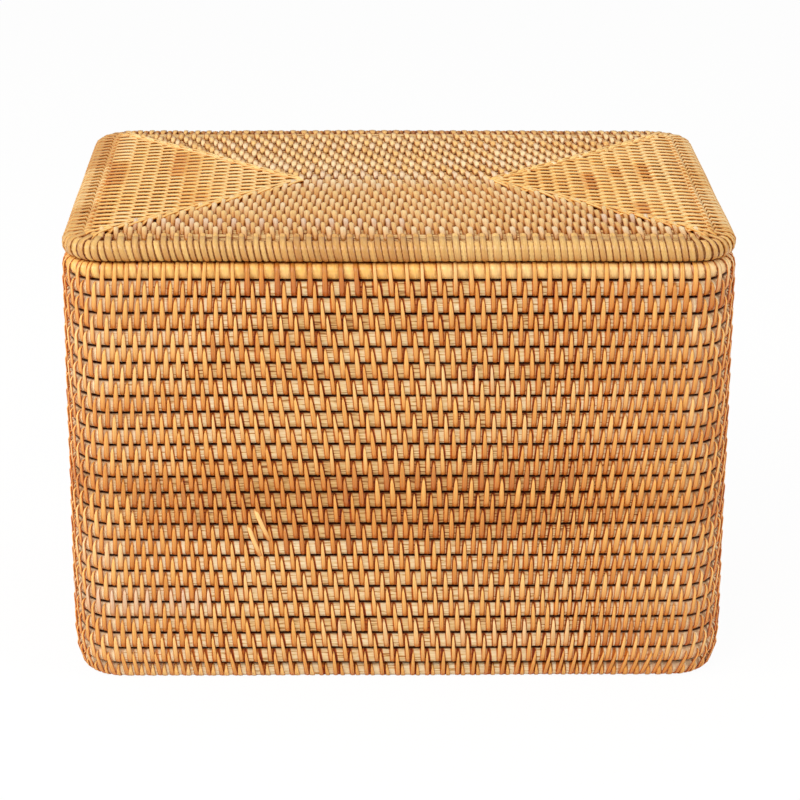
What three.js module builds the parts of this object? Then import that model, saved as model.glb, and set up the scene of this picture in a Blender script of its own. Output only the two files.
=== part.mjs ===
import * as THREE from 'three';

// Coiled rattan box with a loose lid: rows of round rod lashed together with rattan peel.
// Millimetres, +Z up. The origin is the middle of the foot, X runs along the box and -Y is its front.
// A rod is given with the peel round it, so rows touch where the peel of one meets the next.

// Box
const BOX_LENGTH = 358; // over the wall rows, left to right
const BOX_DEPTH = 252; // over the wall rows, front to back
const WALL_CORNER = 26; // outside corner radius of the wall, in plan
const WALL_ROWS = 26; // rows of rod, one on another
const ROD = 8.9; // rod with its peel, across and in height
const FOOT_INSET = 2.6; // how far the lowest row is drawn in
const FOOT_ROWS = 2; // rows in which the wall draws in

// Lid
const RIM_HEIGHT = 12.4; // bead round the edge, top to bottom
const LID_OVERHANG = 1; // bead past the outside of the wall
const LID_ROD = 7.6; // thinner rod of the lid's coil, with its peel
const PANEL_DROP = 0.8; // top of the coil below the top of the bead
const COLLAR_ROWS = 2; // rows under the coil that keep the lid in the mouth
const COLLAR_CLEARANCE = 2.9; // collar to the inside of the wall

// Spacing
const SEAT_GAP = 0.3; // between rows that lie on each other
const COIL_GAP = 0.45; // least space between the turns of a flat coil
const TIGHTEST_BEND = 0.4; // least radius on the inside of a bend

// Facets
const CORNER_STEPS = 3; // flats in each quarter turn
const OCTAGON_CORNER = 1 - Math.SQRT1_2; // corner cut of an octagon, as a share of its width
const FLAT_SHARE = 0.25; // half of a coil rod's flat top, as a share of its width
const GAP_SAMPLE = 1; // spacing of the points on which a coil's own gap is measured

// Worked out from the sizes above
const ROW_PITCH = ROD + SEAT_GAP;
const WALL_TOP = WALL_ROWS * ROW_PITCH;
const COLLAR_INSET = ROD + COLLAR_CLEARANCE;
const RIM_WIDTH = LID_OVERHANG + COLLAR_INSET - COIL_GAP;
const PANEL_LEVEL = WALL_TOP + RIM_HEIGHT - PANEL_DROP - LID_ROD / 2;
const COLLAR_LEVEL = PANEL_LEVEL - LID_ROD / 2 - SEAT_GAP - ROD / 2;

const ROD_COLOUR = 0xd9b57c;
const RIM_COLOUR = 0xcf9b52;
const PANEL_COLOUR = 0xd8b088;
const ROUGHNESS = 0.55;

/** Points of a rectangle with round corners, anticlockwise, centred on the origin. */
function roundedOutline(length, depth, corner) {
  const points = [];
  for (let quarter = 0; quarter < 4; quarter += 1) {
    const signX = quarter === 0 || quarter === 3 ? 1 : -1;
    const signY = quarter < 2 ? 1 : -1;
    for (let step = 0; step <= CORNER_STEPS; step += 1) {
      const angle = (quarter + step / CORNER_STEPS) * (Math.PI / 2);
      points.push(new THREE.Vector2(
        signX * (length / 2 - corner) + corner * Math.cos(angle),
        signY * (depth / 2 - corner) + corner * Math.sin(angle),
      ));
    }
  }
  return points;
}

/** Closed rod round a rectangle, eight-sided, with its middle at height 0. */
function hoop(length, depth, corner, width, height) {
  const cut = OCTAGON_CORNER * Math.min(width, height);
  const outer = Math.max(corner, cut + TIGHTEST_BEND);
  const inner = Math.max(corner - width, TIGHTEST_BEND);
  const shape = new THREE.Shape(roundedOutline(length, depth, outer));
  shape.holes.push(new THREE.Path(roundedOutline(length - 2 * width, depth - 2 * width, inner)));
  const geometry = new THREE.ExtrudeGeometry(shape, {
    depth: height - 2 * cut,
    bevelEnabled: true,
    bevelSize: cut,
    bevelOffset: -cut,
    bevelThickness: cut,
    bevelSegments: 1,
  });
  return geometry.translate(0, 0, cut - height / 2);
}

/** Corners of a rod that winds inwards inside a frame, clockwise from the back left corner. */
function coilCorners(frame, rod) {
  const room = frame.depth - 2 * COIL_GAP - rod;
  const rows = 1 + Math.floor(room / (rod + COIL_GAP));
  const pitch = room / (rows - 1);
  const halfLength = (frame.length - 2 * COIL_GAP - rod) / 2;
  const halfDepth = room / 2;
  const turns = Math.floor(rows / 2);
  const evenRows = rows % 2 === 0;
  const startX = Math.max(frame.corner, rod + COIL_GAP) - frame.length / 2 - rod / 2;
  const corners = [{ x: startX, y: halfDepth, bend: 0 }];
  for (let turn = 0; turn < turns; turn += 1) {
    const x = halfLength - turn * pitch;
    const y = halfDepth - turn * pitch;
    const widest = frame.corner - COIL_GAP - rod / 2 - turn * pitch;
    const column = Math.max(2 * y - pitch, pitch);
    const bend = Math.min(Math.max(widest, rod / 2 + TIGHTEST_BEND), column / 2);
    corners.push({ x, y, bend }, { x, y: -y, bend });
    if (turn < turns - 1 || !evenRows) {
      corners.push({ x: -x, y: -y, bend }, { x: -x, y: y - pitch, bend });
    }
  }
  const lastColumn = halfLength - (evenRows ? turns - 2 : turns - 1) * pitch;
  const endX = lastColumn - rod / 2 - COIL_GAP;
  corners.push({ x: evenRows ? -endX : endX, y: evenRows ? -pitch / 2 : 0, bend: 0 });
  return corners;
}

/** Middle line of a rod through its corners: points with the direction in which each one heads. */
function bentLine(corners) {
  const line = [];
  corners.forEach((corner, index) => {
    const here = new THREE.Vector2(corner.x, corner.y);
    const before = corners[Math.max(index - 1, 0)];
    const after = corners[Math.min(index + 1, corners.length - 1)];
    const arriving = here.clone().sub(before).normalize();
    const leaving = new THREE.Vector2(after.x, after.y).sub(here).normalize();
    if (index === 0 || index === corners.length - 1) {
      line.push({ point: here, heading: index === 0 ? leaving : arriving });
      return;
    }
    const centre = here.clone()
      .addScaledVector(arriving, -corner.bend)
      .addScaledVector(leaving, corner.bend);
    for (let step = 0; step <= CORNER_STEPS; step += 1) {
      const angle = (step / CORNER_STEPS) * (Math.PI / 2);
      const heading = arriving.clone()
        .multiplyScalar(Math.cos(angle))
        .addScaledVector(leaving, Math.sin(angle));
      const point = centre.clone()
        .addScaledVector(arriving, corner.bend * Math.sin(angle))
        .addScaledVector(leaving, -corner.bend * Math.cos(angle));
      line.push({ point, heading });
    }
  });
  return line;
}

/** Six-sided rod along a level line. Its first end is cut on the slant, to fit beside a round corner. */
function rodAlong(line, rod) {
  const flat = FLAT_SHARE * rod;
  const half = rod / 2;
  const section = [[half, 0], [flat, half], [-flat, half], [-half, 0], [-flat, -half], [flat, -half]];
  const sides = section.length;
  const positions = [];
  line.forEach(({ point, heading }, index) => {
    section.forEach(([aside, up]) => {
      const slant = index === 0 ? aside : 0;
      positions.push(
        point.x - heading.y * aside + heading.x * slant,
        point.y + heading.x * aside + heading.y * slant,
        up,
      );
    });
  });
  const triangles = [];
  for (let ring = 0; ring < line.length - 1; ring += 1) {
    for (let side = 0; side < sides; side += 1) {
      const a = ring * sides + side;
      const b = ring * sides + ((side + 1) % sides);
      triangles.push(a, b, a + sides, b, b + sides, a + sides);
    }
  }
  const last = (line.length - 1) * sides;
  for (let side = 1; side < sides - 1; side += 1) {
    triangles.push(0, side + 1, side, last, last + side, last + side + 1);
  }
  const geometry = new THREE.BufferGeometry();
  geometry.setAttribute('position', new THREE.Float32BufferAttribute(positions, 3));
  geometry.setIndex(triangles);
  geometry.computeVertexNormals();
  return geometry;
}

/** Least space between the turns of a rod, on points along its middle line, short of its two cut ends. */
function leastGap(line, rod) {
  const points = [];
  let travelled = 0;
  for (let index = 1; index < line.length; index += 1) {
    const from = line[index - 1].point;
    const span = from.distanceTo(line[index].point);
    for (let along = 0; along < span; along += GAP_SAMPLE) {
      const spot = from.clone().lerp(line[index].point, along / span);
      points.push({ x: spot.x, y: spot.y, travelled: travelled + along });
    }
    travelled += span;
  }
  const cutEnd = rod / 2;
  const inside = points.filter((spot) => spot.travelled > cutEnd && spot.travelled < travelled - cutEnd);
  const apart = 2 * rod;
  let least = Infinity;
  inside.forEach((first, index) => {
    for (let other = index + 1; other < inside.length; other += 1) {
      const second = inside[other];
      if (second.travelled - first.travelled > apart) {
        least = Math.min(least, Math.hypot(first.x - second.x, first.y - second.y));
      }
    }
  });
  return least - rod;
}

/** Flat coil of a rod that fills a frame given by its inside length, depth and corner radius. */
function flatCoil(name, frame, rod) {
  const turned = frame.depth > frame.length;
  const along = turned ? { ...frame, length: frame.depth, depth: frame.length } : frame;
  const line = bentLine(coilCorners(along, rod));
  console.log(`${name}: least gap between turns ${leastGap(line, rod).toFixed(2)} mm`);
  const coil = rodAlong(line, rod);
  return turned ? coil.rotateZ(Math.PI / 2) : coil;
}

/** Adds a named piece with its middle at a level. */
function addPiece(group, name, geometry, level, colour) {
  const material = new THREE.MeshStandardMaterial({ color: colour, roughness: ROUGHNESS, metalness: 0 });
  const mesh = new THREE.Mesh(geometry, material);
  mesh.name = name;
  mesh.position.z = level;
  group.add(mesh);
}

/** How far a wall row, counted from the foot, is drawn in. */
function drawnIn(row) {
  const share = Math.max(0, 1 - row / FOOT_ROWS);
  return FOOT_INSET * share * share;
}

/** Wall rows and the base coil inside the lowest row. */
function makeBox() {
  const box = new THREE.Group();
  box.name = 'box';
  for (let row = 0; row < WALL_ROWS; row += 1) {
    const inset = drawnIn(row);
    const geometry = hoop(BOX_LENGTH - 2 * inset, BOX_DEPTH - 2 * inset, WALL_CORNER, ROD, ROD);
    const number = String(row + 1).padStart(2, '0');
    addPiece(box, `wall_hoop_${number}`, geometry, row * ROW_PITCH + ROD / 2, ROD_COLOUR);
  }
  const footInside = 2 * (drawnIn(0) + ROD);
  const frame = {
    length: BOX_LENGTH - footInside,
    depth: BOX_DEPTH - footInside,
    corner: Math.max(WALL_CORNER - ROD, TIGHTEST_BEND),
  };
  addPiece(box, 'base_coil', flatCoil('base_coil', frame, ROD), ROD / 2, ROD_COLOUR);
  return box;
}

/** Bead, coil and collar of the lid, in place on the wall. */
function makeLid() {
  const lid = new THREE.Group();
  lid.name = 'lid';
  const length = BOX_LENGTH + 2 * LID_OVERHANG;
  const depth = BOX_DEPTH + 2 * LID_OVERHANG;
  const corner = WALL_CORNER + LID_OVERHANG;
  const rim = hoop(length, depth, corner, RIM_WIDTH, RIM_HEIGHT);
  addPiece(lid, 'lid_rim', rim, WALL_TOP + RIM_HEIGHT / 2, RIM_COLOUR);
  const frame = {
    length: length - 2 * RIM_WIDTH,
    depth: depth - 2 * RIM_WIDTH,
    corner: Math.max(corner - RIM_WIDTH, TIGHTEST_BEND),
  };
  addPiece(lid, 'lid_coil', flatCoil('lid_coil', frame, LID_ROD), PANEL_LEVEL, PANEL_COLOUR);
  for (let row = 0; row < COLLAR_ROWS; row += 1) {
    const collar = hoop(
      BOX_LENGTH - 2 * COLLAR_INSET,
      BOX_DEPTH - 2 * COLLAR_INSET,
      WALL_CORNER - COLLAR_INSET,
      ROD,
      ROD,
    );
    addPiece(lid, `lid_collar_${row + 1}`, collar, COLLAR_LEVEL - row * ROW_PITCH, ROD_COLOUR);
  }
  return lid;
}

const coiledBox = new THREE.Group();
coiledBox.name = 'coiled_rattan_box';
coiledBox.add(makeBox(), makeLid());

export default coiledBox;
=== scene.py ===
"""Coiled rattan box with a loose lid: rods, peel stitching, finishes, floor, light and camera.

The frame gives the place of every rod. Here each rod is a round, slightly uneven sweep on the same line,
and every stitch of split peel is a strip of its own: its head comes up out of an awl slit in one row, it
runs over the dark line below and goes in under the next row.
"""

from __future__ import annotations

import bisect
import logging
import math
import random
from collections.abc import Callable, Sequence
from dataclasses import dataclass, replace
from enum import Enum, IntEnum
from functools import partial
from itertools import accumulate
from typing import NamedTuple

import bmesh
import bpy
import numpy as np
from mathutils import Matrix, Quaternion, Vector, noise

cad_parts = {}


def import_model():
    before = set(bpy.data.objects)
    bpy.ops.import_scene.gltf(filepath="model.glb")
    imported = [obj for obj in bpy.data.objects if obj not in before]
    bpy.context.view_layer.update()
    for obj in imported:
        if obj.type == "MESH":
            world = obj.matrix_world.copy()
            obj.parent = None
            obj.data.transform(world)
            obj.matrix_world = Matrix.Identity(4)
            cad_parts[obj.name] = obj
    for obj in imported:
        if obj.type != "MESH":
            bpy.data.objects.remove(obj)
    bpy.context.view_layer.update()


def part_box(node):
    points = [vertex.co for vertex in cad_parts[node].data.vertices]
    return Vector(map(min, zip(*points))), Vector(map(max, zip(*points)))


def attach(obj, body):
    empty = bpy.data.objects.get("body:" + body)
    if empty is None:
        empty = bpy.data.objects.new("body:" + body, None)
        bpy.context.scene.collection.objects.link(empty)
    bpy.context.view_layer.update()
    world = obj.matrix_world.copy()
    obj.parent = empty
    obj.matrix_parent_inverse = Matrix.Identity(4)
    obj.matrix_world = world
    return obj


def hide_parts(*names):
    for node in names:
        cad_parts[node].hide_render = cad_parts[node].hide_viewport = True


LOG = logging.getLogger("rattan_box")

MM = 0.001
UP = Vector((0.0, 0.0, 1.0))
HEXAGON_REACH = math.cos(math.radians(30))  # half width of a hexagon that stands on its point
SQUARE_REACH = 1.0

WHITE = (1.0, 1.0, 1.0, 1.0)
MIX_FACTOR, MIX_A, MIX_B, MIX_RESULT = 0, 6, 7, 2  # sockets of a Mix node that mixes colours
TINT = {"data_type": "RGBA", "blend_type": "MULTIPLY"}
SMOOTH = {"interpolation_type": "SMOOTHSTEP"}

ROD = 8.9  # the frame's rod with its peel, mm
LID_ROD = 7.6  # the frame's thinner rod of the lid's coil, mm
COIL_GAP = 0.45  # between the turns of a flat coil in the frame, mm
WALL_CORNER = 26.0  # outside corner radius of the wall, mm
LID_CORNER = WALL_CORNER + 1.0  # of the lid's bead, which stands 1 mm past the wall, mm
RIM_WIDTH = 12.35  # of the bead, mm

CORE_RADIUS = 4.6  # bare rod of the wall, which touches the rows above and below it, mm
TOP_CORE_RADIUS = 4.2  # top row, thinner so that its peel stays off the lid, mm
FOOT_CORE_RADIUS = 4.35  # lowest row and base, thinner so that their peel stays off the floor, mm
LID_CORE_RADIUS = 4.05  # rod of the lid's coil, mm
RIM_CORE_RADIUS = 4.95  # bundle inside the bead of the lid, mm
RIM_SAG = 0.3  # how far that bundle lies below the middle of the frame's bead, mm
WALL_DRAW = 0.5  # how far the bare rods stand inside the frame's own rods, mm
ROW_PITCH = 9.2  # from rod to rod, mm
CORNER_PITCH = 6.0  # of the stitches at the corners of the wall, mm
SIDE_PITCH = 8.5  # of the stitches along the sides of the wall, mm
PEEL_WIDTH = 2.4  # mm
GRAIN_WIDTH = 3.3  # peel along the front and back of the lid, mm
LENS_WIDTH = 4.0  # peel at the ends of the lid, mm
PEEL_THICK = 1.0  # mm
DRIFT = 0.4  # how far a stitch stands beside the one above it, as a share of the stitch pitch
WOBBLE_LENGTH = 70 * MM  # length of the handmade unevenness
WOBBLE_SIZE = 0.45 * MM
WOBBLE_SEED = 5  # without it the clock would seed the noise vectors

Stops = tuple[tuple[float, str], ...]
Axes = tuple[Vector, Vector, Vector]

# What counts the stitches up to a distance along a rod: heads, tails, their pitch in mm, and how far one
# leans over a radius, as a share of the pitch.
Counts = tuple[float, float, float, float]
StitchCount = Callable[[float], Counts]


class Body(Enum):
    """The two parts of the frame that move apart."""

    BOX = "box"
    LID = "lid"


class Slot(Enum):
    """Material slots of the part's record."""

    CORE = "rattan_core"
    PEEL = "rattan_peel"


class Seed(IntEnum):
    """Starts of the random draws; a row or side that counts on from one has a start of its own."""

    COIL_ROD = 40
    BUNDLE_ROD = 60
    INNER_ROD = 61
    COLLAR_ROD = 70
    WALL_PEEL = 300
    FOOT_PEEL = 390
    TOP_PEEL = 391
    COIL_PEEL = 400
    MITRE_PEEL = 460
    BEAD_PEEL = 500
    COLLAR_PEEL = 520
    WALL_STITCHES = 600
    FOOT_STITCHES = 690
    TOP_WRAPS = 691
    LAID_ENDS = 692
    COIL_STITCHES = 700
    MITRE_STITCHES = 760
    LONG_WRAPS = 800
    SHORT_WRAPS = 801
    WRAP_WIDTHS = 802
    LONG_END_WRAPS = 803
    SHORT_END_WRAPS = 804
    COLLAR_STITCHES = 820
    WALL_TONES = 900


class Side(Enum):
    """A side of a flat coil, with the way its rod runs there."""

    BACK = (1.0, 0.0)
    RIGHT = (0.0, -1.0)
    FRONT = (-1.0, 0.0)
    LEFT = (0.0, 1.0)

    @property
    def heading(self) -> Vector:
        """The way the rod runs."""
        return Vector((*self.value, 0.0))

    @property
    def lengthwise(self) -> bool:
        """Whether it is the front or the back."""
        return self in (Side.FRONT, Side.BACK)


def linear(hex_colour: str) -> tuple[float, float, float, float]:
    """Turns an sRGB hex colour into a linear one.

    Args:
        hex_colour: Six hex digits.

    Returns:
        Red, green, blue and alpha for a node's socket.
    """
    shares = [int(hex_colour[at : at + 2], 16) / 255 for at in (0, 2, 4)]
    red, green, blue = (c / 12.92 if c <= 0.04045 else ((c + 0.055) / 1.055) ** 2.4 for c in shares)
    return red, green, blue, 1.0


def even_stops(*colours: str) -> Stops:
    """Returns the stops of a ramp with these hex colours at even steps."""
    return tuple((index / (len(colours) - 1), colour) for index, colour in enumerate(colours))


def add_node(
    tree: bpy.types.NodeTree,
    kind: str,
    settings: dict[str | int, object] | None = None,
    links: dict[str | int, bpy.types.Node | bpy.types.NodeSocket] | None = None,
) -> bpy.types.Node:
    """Adds a node to a material.

    Args:
        tree: The material's node tree.
        kind: Blender's name for the kind of node, without ShaderNode before it.
        settings: Values by socket or property; "stops" holds a ramp's positions and hex colours.
        links: What feeds the node, by input: a socket, or a node for its first output.

    Returns:
        The new node.
    """
    node = tree.nodes.new(f"ShaderNode{kind}")
    for name, value in (settings or {}).items():
        if name == "stops":
            ramp = node.color_ramp
            while len(ramp.elements) < len(value):
                ramp.elements.new(1.0)
            for element, (position, colour) in zip(ramp.elements, value):
                element.position = position
                element.color = linear(colour)
        elif isinstance(name, int) or name in node.inputs:
            node.inputs[name].default_value = value
        else:
            setattr(node, name, value)
    for name, source in (links or {}).items():
        socket = source.outputs[0] if isinstance(source, bpy.types.Node) else source
        tree.links.new(socket, node.inputs[name])
    return node


def new_material(name: str) -> tuple[bpy.types.Material, bpy.types.NodeTree]:
    """Makes an empty node material.

    Args:
        name: Name of the real material.

    Returns:
        The material and its node tree.
    """
    material = bpy.data.materials.new(name)
    material.use_nodes = True
    material.node_tree.nodes.clear()
    return material, material.node_tree


PALE_STOPS = even_stops("74330e", "b96a24", "d69c4c", "e7bc74", "edcf9e", "e0c0a0")
END_STOPS = even_stops("74330e", "b96a24", "e0a04a", "f2c470", "f6d28e", "ecc890")
BEAD_STOPS = even_stops("74330e", "a8682c", "c8914a", "dcae64", "e6c48a", "d8b492")
# Painted shade of the lid's core beside its stitches, lighter than the wall's.
PALE_STITCH_SHADE = even_stops("ffffff", "dca55e", "9a6230")


@dataclass(frozen=True)
class RattanPeel:
    """Split skin of the cane: smooth and waxy, with long streaks, a painted highlight on its head, and
    browner edges and tail, partly painted shade.
    """

    name: str = "rattan_peel"
    stops: Stops = even_stops("74330e", "b96a24", "e0993f", "efb761", "f4ca84", "e4c09c")
    edge: str = "dc9442"  # tint of the two cut edges: their own browner colour and painted shade where the strip's sides turn down
    tail: str = "eaae64"  # tint of the end that goes in under the next row: its warmer colour and painted shade where it turns down
    head_highlight_gain: float = 1.15  # painted highlight: how much paler the head is drawn, for the light on its upturned bend
    streaks_across: float = 3.2  # fibre bundles over half of the strip, about 0.4 mm each
    streaks_along: float = 1.4  # over the length of the strip
    strip_jump: float = 60.0  # how far apart in the noise two strips can be
    roughness: float = 0.38

    def material(self) -> bpy.types.Material:
        """Makes the peel's material.

        Returns:
            The material.
        """
        material, tree = new_material(self.name)
        add = partial(add_node, tree)
        tone = add("Attribute", {"attribute_name": "tone"})
        strip = add("Attribute", {"attribute_name": "strip"}).outputs["Vector"]
        base = add("ValToRGB", {"stops": self.stops}, {"Fac": tone.outputs["Fac"]})
        streaks = (self.streaks_across, self.streaks_along, self.strip_jump)
        stretched = add("VectorMath", {"operation": "MULTIPLY", 1: streaks}, {0: strip})
        streak = add("TexNoise", {"Scale": 1.0, "Detail": 3.0, "Roughness": 0.6}, {"Vector": stretched})
        streak_range = {"From Min": 0.3, "From Max": 0.7, "To Min": 0.78, "To Max": 1.1}
        streak_shade = add("MapRange", streak_range, {"Value": streak})
        parts = add("SeparateXYZ", {}, {0: strip})
        across, along = parts.outputs["X"], parts.outputs["Y"]
        # Painted highlight: the head of the strip is drawn paler towards its tip.
        head_range = {"From Min": 0.05, "From Max": 0.5, "To Min": self.head_highlight_gain, "To Max": 1.0}
        head_highlight = add("MapRange", head_range, {"Value": along})
        shade = add("Math", {"operation": "MULTIPLY"}, {0: streak_shade, 1: head_highlight})
        streaked = add("VectorMath", {"operation": "SCALE"}, {0: base, "Scale": shade})
        # Edge and tail tints: the peel's own browner edges and tail, with painted shade where the strip
        # turns down.
        aside = add("Math", {"operation": "ABSOLUTE"}, {0: across})
        at_shaded_edge = add("MapRange", {**SMOOTH, "From Min": 0.68, "From Max": 1.0}, {"Value": aside})
        edged = add("Mix", {**TINT, MIX_B: linear(self.edge)}, {MIX_FACTOR: at_shaded_edge, MIX_A: streaked})
        at_shaded_tail = add("MapRange", {**SMOOTH, "From Min": 0.5, "From Max": 1.0}, {"Value": along})
        tail_links = {MIX_FACTOR: at_shaded_tail, MIX_A: edged.outputs[MIX_RESULT]}
        colour = add("Mix", {**TINT, MIX_B: linear(self.tail)}, tail_links)
        bump = add("Bump", {"Strength": 0.25, "Distance": 0.15 * MM}, {"Height": streak})
        surface = {"Base Color": colour.outputs[MIX_RESULT], "Normal": bump}
        shader = add("BsdfPrincipled", {"Roughness": self.roughness, "IOR": 1.5}, surface)
        add("OutputMaterial", {}, {"Surface": shader})
        return material


@dataclass(frozen=True)
class RattanCore:
    """Peeled heart of the cane: pale, matt and open, with fibre lines along the rod.

    It carries painted shade: orange-brown beside each stitch and round the awl slit at a stitch's head,
    where the stitches shade the core, and near black in the crease where two rods meet.
    """

    name: str = "rattan_core"
    # Painted shade beside the stitches and round the awl slits at their heads, where the stitches shade the
    # core.
    stitch_shade: Stops = even_stops("ffffff", "d8842e", "8c380a")
    # Painted shade: near black in the crease where two rods meet, where the gap between them lies in
    # shadow.
    crease_shade: str = "421404"
    stops: Stops = ((0.0, "8a5223"), (0.3, "bf8a48"), (0.6, "e0bb7e"), (1.0, "f6e2b8"))
    crease_shade_from: float = 0.775  # painted crease shade starts here: share of the radius, towards the next rod
    crease_shade_full: float = 0.925
    strip_half: float = 1.1  # half width of a stitch, mm
    head_taper: float = 1.35  # how much narrower it would be one radius up, mm
    close_pitch: float = CORNER_PITCH  # of the stitches at the corners, where the painted shade beside them is weakest, mm
    wide_pitch: float = 7.5  # of the stitches where the painted shade beside them is full, mm
    slit_shade_half: float = 1.65  # half width of the painted shade round a head's awl slit, mm
    side_shade_from: float = 1.1  # half width of the full painted shade beside a tail, mm
    side_shade_half: float = 1.75  # half width of the whole painted shade beside a tail, mm
    fibre_across: float = 0.8 * MM  # drawn coarser than the cane's own fibres, so that they show
    fibre_along: float = 12 * MM
    roughness: float = 0.62

    def material(self) -> bpy.types.Material:
        """Makes the core's material.

        Returns:
            The material.
        """
        material, tree = new_material(self.name)
        add = partial(add_node, tree)
        section = add("Attribute", {"attribute_name": "section"})
        round_at = add("SeparateXYZ", {}, {0: section.outputs["Vector"]})
        fibres = self._fibres(tree)
        unshaded = self._unshaded_colour(tree, fibres)
        # Painted shade beside and round the stitches, multiplied over the core's own colour.
        stitch_shade = add("ValToRGB", {"stops": self.stitch_shade}, {"Fac": self._stitch_shade_strength(tree, round_at)})
        stitch_shaded = add("Mix", {**TINT, MIX_FACTOR: 1.0}, {MIX_A: unshaded, MIX_B: stitch_shade})
        # Painted shade in the crease towards the next rod, over the core's colour.
        aside = add("Math", {"operation": "ABSOLUTE"}, {0: round_at.outputs["X"]})
        crease_shade_range = {**SMOOTH, "From Min": self.crease_shade_from, "From Max": self.crease_shade_full}
        at_crease = add("MapRange", crease_shade_range, {"Value": aside})
        crease_links = {MIX_FACTOR: at_crease, MIX_A: stitch_shaded.outputs[MIX_RESULT]}
        colour = add("Mix", {"data_type": "RGBA", MIX_B: linear(self.crease_shade)}, crease_links)
        bump = add("Bump", {"Strength": 0.4, "Distance": 0.25 * MM}, {"Height": fibres})
        matt = {"Roughness": self.roughness, "IOR": 1.5, "Specular IOR Level": 0.25}
        surface = {"Base Color": colour.outputs[MIX_RESULT], "Normal": bump}
        shader = add("BsdfPrincipled", matt, surface)
        add("OutputMaterial", {}, {"Surface": shader})
        return material

    def _fibres(self, tree: bpy.types.NodeTree) -> bpy.types.NodeSocket:
        """Adds the noise of the fibres, drawn out along the rod.

        Args:
            tree: The material's node tree.

        Returns:
            The noise, about 0.3 to 0.7.
        """
        add = partial(add_node, tree)
        place = add("TexCoord").outputs["Object"]
        grain = add("Attribute", {"attribute_name": "grain"}).outputs["Vector"]
        across, along = 1 / self.fibre_across, 1 / self.fibre_along
        travelled = add("VectorMath", {"operation": "DOT_PRODUCT"}, {0: place, 1: grain}).outputs["Value"]
        fine = add("VectorMath", {"operation": "SCALE", "Scale": across}, {0: place})
        less = add("Math", {"operation": "MULTIPLY", 1: along - across}, {0: travelled})
        drawn_out = add("VectorMath", {"operation": "SCALE"}, {0: grain, "Scale": less})
        fibres_at = add("VectorMath", {"operation": "ADD"}, {0: fine, 1: drawn_out})
        detail = {"Scale": 1.0, "Detail": 2.0, "Roughness": 0.55}
        return add("TexNoise", detail, {"Vector": fibres_at}).outputs["Fac"]

    def _unshaded_colour(self, tree: bpy.types.NodeTree, fibres: bpy.types.NodeSocket) -> bpy.types.NodeSocket:
        """Adds the core's own colour, before any painted shade: its tone, shifted by the fibres, with open
        pores between them.

        Args:
            tree: The material's node tree.
            fibres: The noise of the fibres.

        Returns:
            The colour.
        """
        add = partial(add_node, tree)
        tone = add("Attribute", {"attribute_name": "tone"}).outputs["Fac"]
        shift_range = {"From Min": 0.36, "From Max": 0.62, "To Min": -0.16, "To Max": 0.14}
        shift = add("MapRange", shift_range, {"Value": fibres})
        pore_range = {**SMOOTH, "From Min": 0.34, "From Max": 0.43, "To Min": -0.4, "To Max": 0.0}
        pores = add("MapRange", pore_range, {"Value": fibres})
        varied = add("Math", {"operation": "ADD"}, {0: shift, 1: pores})
        level = add("Math", {"operation": "ADD", "use_clamp": True}, {0: tone, 1: varied})
        return add("ValToRGB", {"stops": self.stops}, {"Fac": level}).outputs["Color"]

    def _stitch_shade_strength(self, tree: bpy.types.NodeTree, round_at: bpy.types.Node) -> bpy.types.NodeSocket:
        """Adds the painted shade beside the stitches and round the awl slits at their heads.

        Args:
            tree: The material's node tree.
            round_at: The place on the rod's section: towards the next rod, and towards the face.

        Returns:
            How strong that painted shade is, 0 to 1.
        """
        add = partial(add_node, tree)
        to_next, to_face = round_at.outputs["X"], round_at.outputs["Y"]
        lash = add("Attribute", {"attribute_name": "lash"})
        counted = add("SeparateXYZ", {}, {0: lash.outputs["Vector"]})
        pitch = counted.outputs["Z"]
        away = []
        for count in ("X", "Y"):
            share = add("Math", {"operation": "PINGPONG", 1: 0.5}, {0: counted.outputs[count]})
            away.append(add("Math", {"operation": "MULTIPLY"}, {0: share, 1: pitch}))
        from_head, from_tail = away
        head_range = {"To Min": self.strip_half, "To Max": self.strip_half - self.head_taper}
        head_half = add("MapRange", head_range, {"Value": to_next})
        slit_shade_range = {**SMOOTH, "From Max": self.slit_shade_half, "To Min": 1.0, "To Max": 0.0}
        slit_shade = add("MapRange", slit_shade_range, {"Value": from_head, "From Min": head_half})
        below_range = {**SMOOTH, "From Min": 0.8, "From Max": 0.95, "To Min": 1.0, "To Max": 0.0}
        below = add("MapRange", below_range, {"Value": to_next})
        slit = add("Math", {"operation": "MULTIPLY"}, {0: slit_shade, 1: below})
        side_shade_range = {**SMOOTH, "From Min": self.side_shade_from, "From Max": self.side_shade_half}
        side_shade = add("MapRange", {**side_shade_range, "To Min": 0.6, "To Max": 0.0}, {"Value": from_tail})
        worst = add("Math", {"operation": "MAXIMUM"}, {0: slit, 1: side_shade})
        on_face = add("MapRange", {**SMOOTH, "From Min": -0.1, "From Max": 0.25}, {"Value": to_face})
        side_range = {"From Min": self.close_pitch, "From Max": self.wide_pitch}
        on_side = add("MapRange", {**side_range, "To Min": 0.2, "To Max": 1.0}, {"Value": pitch})
        shown = add("Math", {"operation": "MULTIPLY"}, {0: on_face, 1: on_side})
        return add("Math", {"operation": "MULTIPLY"}, {0: worst, 1: shown}).outputs[0]


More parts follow.
